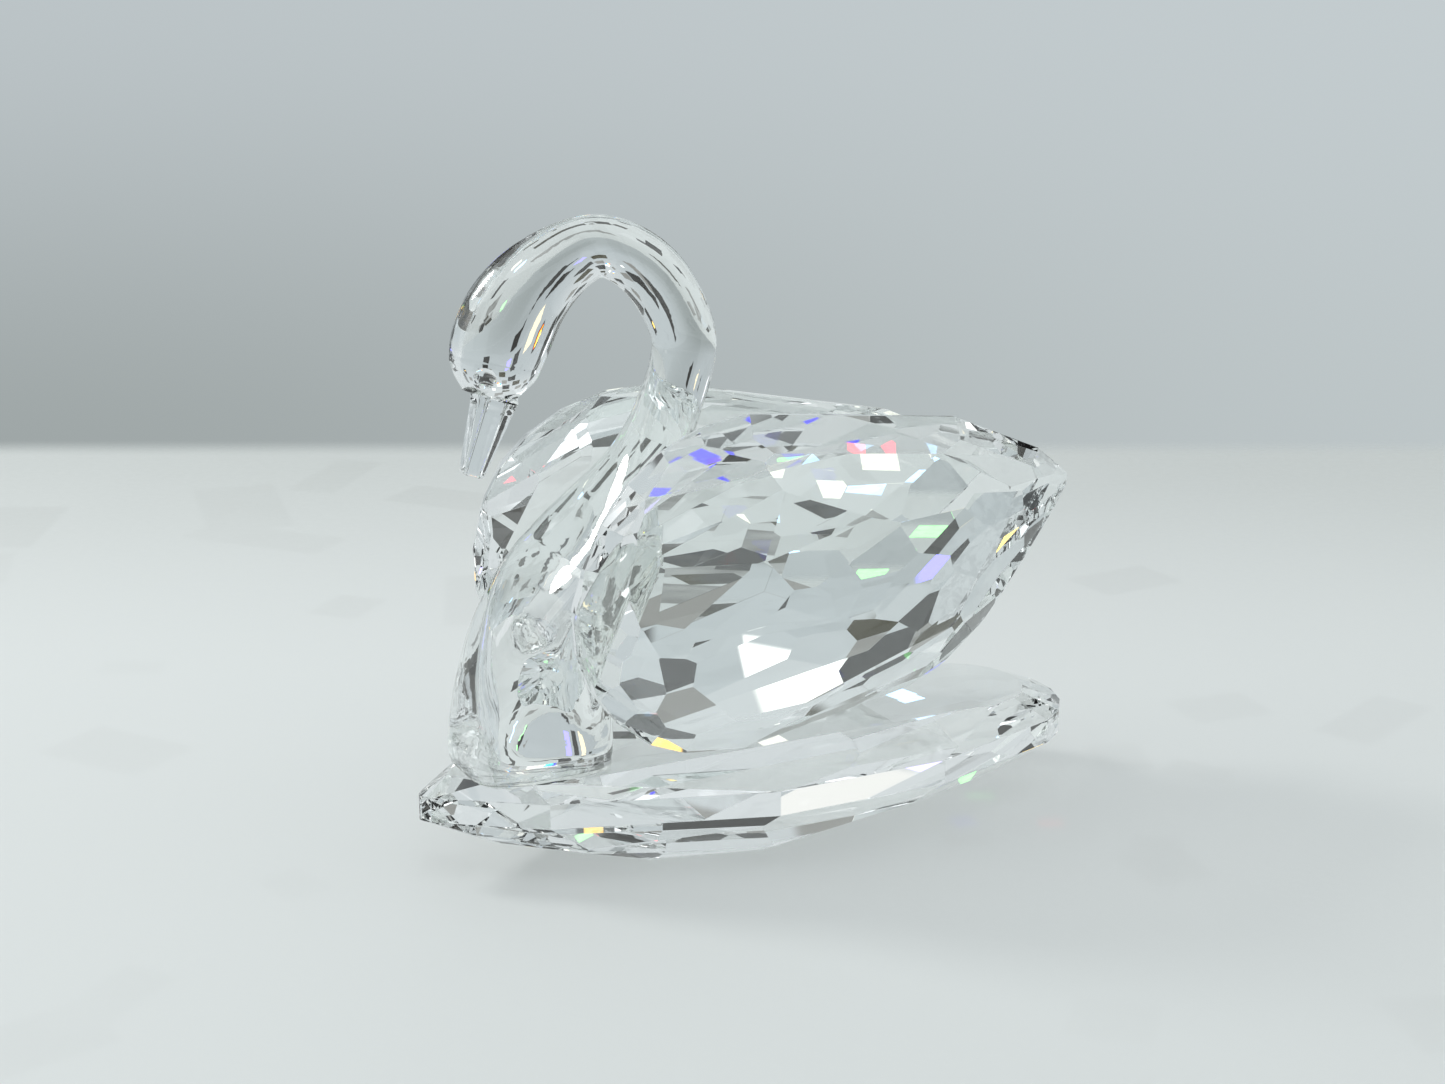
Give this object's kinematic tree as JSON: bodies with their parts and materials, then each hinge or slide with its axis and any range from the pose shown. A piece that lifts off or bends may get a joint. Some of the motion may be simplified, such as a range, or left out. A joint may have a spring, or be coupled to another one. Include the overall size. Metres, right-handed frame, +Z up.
{
  "type": "crystal swan figurine",
  "caption": "Clear cut-crystal swan: smooth curved neck and head, pear-shaped faceted wings glued to its breast, on a boat-shaped faceted base.",
  "frame": {"origin": "middle of the bounding box in plan, at the level the base rests on", "axes": "+Z up, +X from the beak's end towards the wing tips and tail, +Y towards the swan's right wing"},
  "size_m": [0.0716, 0.0365, 0.0635],
  "materials": {
    "cut_crystal": "polished cut lead crystal, clear and colourless",
    "moulded_crystal": "fire-polished clear crystal",
    "clear_adhesive": "cured clear adhesive"
  },
  "bodies": {
    "root": {"base": "cut_crystal", "neck": "moulded_crystal", "left_wing": "cut_crystal", "right_wing": "cut_crystal", "foot_bond": "clear_adhesive", "left_wing_bond": "clear_adhesive", "right_wing_bond": "clear_adhesive"}
  },
  "joints": []
}
